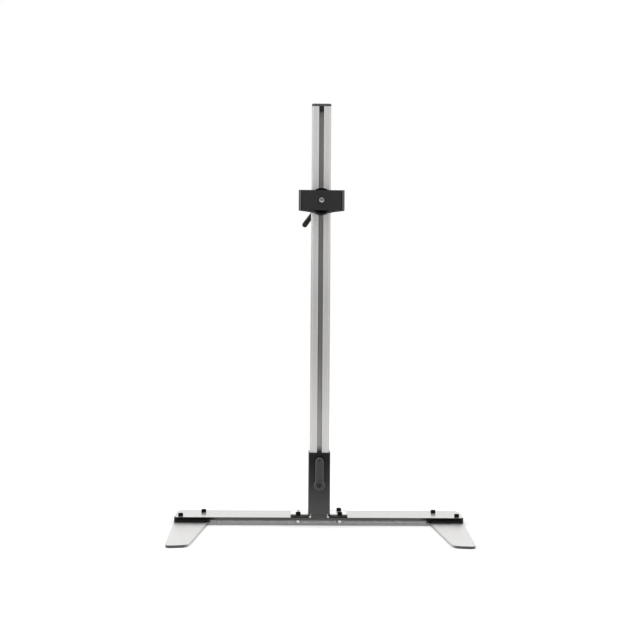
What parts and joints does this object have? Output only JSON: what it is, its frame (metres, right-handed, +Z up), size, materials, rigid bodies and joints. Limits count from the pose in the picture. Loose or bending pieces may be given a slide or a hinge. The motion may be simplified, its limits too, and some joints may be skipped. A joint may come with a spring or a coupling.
{
  "type": "copy stand",
  "caption": "Copy stand: a T-slot column in a bracket on a low crossbar with two flat legs, and a sliding, turning camera arm held by clamp levers.",
  "frame": {"origin": "on the floor under the column's axis, on the tie strip's underside", "axes": "+Z up along the column, +X to the right seen from the front, and the camera face looks to -Y"},
  "size_m": [0.5914, 0.3083, 0.861],
  "materials": {
    "base_aluminium": "fine satin, clear anodised",
    "column_aluminium": "satin, clear anodised, extruded",
    "black_coated_metal": "satin black coating",
    "black_plastic": "fine texture",
    "black_screws": "black oxide",
    "bright_steel": "bright zinc",
    "black_rubber": "dull",
    "white_nylon": "natural"
  },
  "bodies": {
    "base": {"tie_strip": "base_aluminium", "top_plate": "base_aluminium", "leg_left": "base_aluminium", "leg_right": "base_aluminium", "leg_spacer_left": "black_plastic", "leg_spacer_right": "black_plastic", "spacer_sleeve_front_left": "bright_steel", "spacer_sleeve_rear_left": "bright_steel", "spacer_sleeve_front_right": "bright_steel", "spacer_sleeve_rear_right": "bright_steel", "leg_screw_front_left": "black_screws", "leg_screw_rear_left": "black_screws", "leg_screw_front_right": "black_screws", "leg_screw_rear_right": "black_screws", "column_plate": "base_aluminium", "column_bracket": "black_coated_metal", "foot_screw_left": "black_screws", "foot_screw_right": "black_screws", "rear_plate_screw": "black_screws", "rear_set_screw": "bright_steel", "front_slot_nut": "bright_steel", "front_lever_washer": "bright_steel"},
    "column": {"column": "column_aluminium", "column_cap": "black_plastic"},
    "carriage": {"carriage_body": "black_coated_metal", "carriage_bridge": "black_coated_metal", "bridge_screw_lower_left": "black_screws", "bridge_screw_upper_left": "black_screws", "bridge_screw_lower_right": "black_screws", "bridge_screw_upper_right": "black_screws", "front_glide": "white_nylon", "left_glide": "white_nylon", "right_glide": "white_nylon", "pressure_shoe": "white_nylon", "rear_lever_washer": "bright_steel", "swivel_washer": "white_nylon"},
    "rear_clamp": {"rear_lever_insert": "bright_steel", "rear_lever_screw": "black_screws", "rear_lever_spring": "bright_steel"},
    "rear_handle": {"rear_lever_handle": "black_plastic"},
    "front_clamp": {"front_lever_insert": "bright_steel", "front_lever_screw": "black_screws", "front_lever_spring": "bright_steel"},
    "front_handle": {"front_lever_handle": "black_plastic"},
    "camera_arm": {"camera_arm": "black_coated_metal", "camera_pad": "black_rubber", "swivel_screw": "black_screws"},
    "camera_screw": {"camera_screw": "bright_steel", "thumb_wheel": "black_plastic"}
  },
  "joints": [
    {"name": "column_slide", "type": "slide", "parent": "base", "child": "column", "axis": [0, 0, 1], "range_m": [0, 0.05]},
    {"name": "carriage_slide", "type": "slide", "parent": "column", "child": "carriage", "axis": [0, 0, 1], "range_m": [-0.46, 0.16]},
    {"name": "rear_lever_turn", "type": "hinge", "parent": "carriage", "child": "rear_clamp", "pos_m": [0, 0.03345, 0.664], "axis": [0, 1, 0], "range_deg": [-10, 120]},
    {"name": "rear_lever_lift", "type": "slide", "parent": "rear_clamp", "child": "rear_handle", "axis": [0, 1, 0], "range_m": [0, 0.0033], "stiffness_N_per_m": 3000, "deforming": ["rear_lever_spring"]},
    {"name": "front_lever_turn", "type": "hinge", "parent": "base", "child": "front_clamp", "pos_m": [0, -0.02335, 0.0845], "axis": [0, -1, 0], "range_deg": [-10, 120]},
    {"name": "front_lever_lift", "type": "slide", "parent": "front_clamp", "child": "front_handle", "axis": [0, -1, 0], "range_m": [0, 0.0033], "stiffness_N_per_m": 3000, "deforming": ["front_lever_spring"]},
    {"name": "arm_swivel", "type": "hinge", "parent": "carriage", "child": "camera_arm", "pos_m": [0, -0.031, 0.6561], "axis": [0, 1, 0], "range_deg": [-90, 90]},
    {"name": "camera_screw_turn", "type": "hinge", "parent": "camera_arm", "child": "camera_screw", "pos_m": [0, -0.08, 0.6561], "axis": [0, 1, 0], "continuous": true}
  ]
}
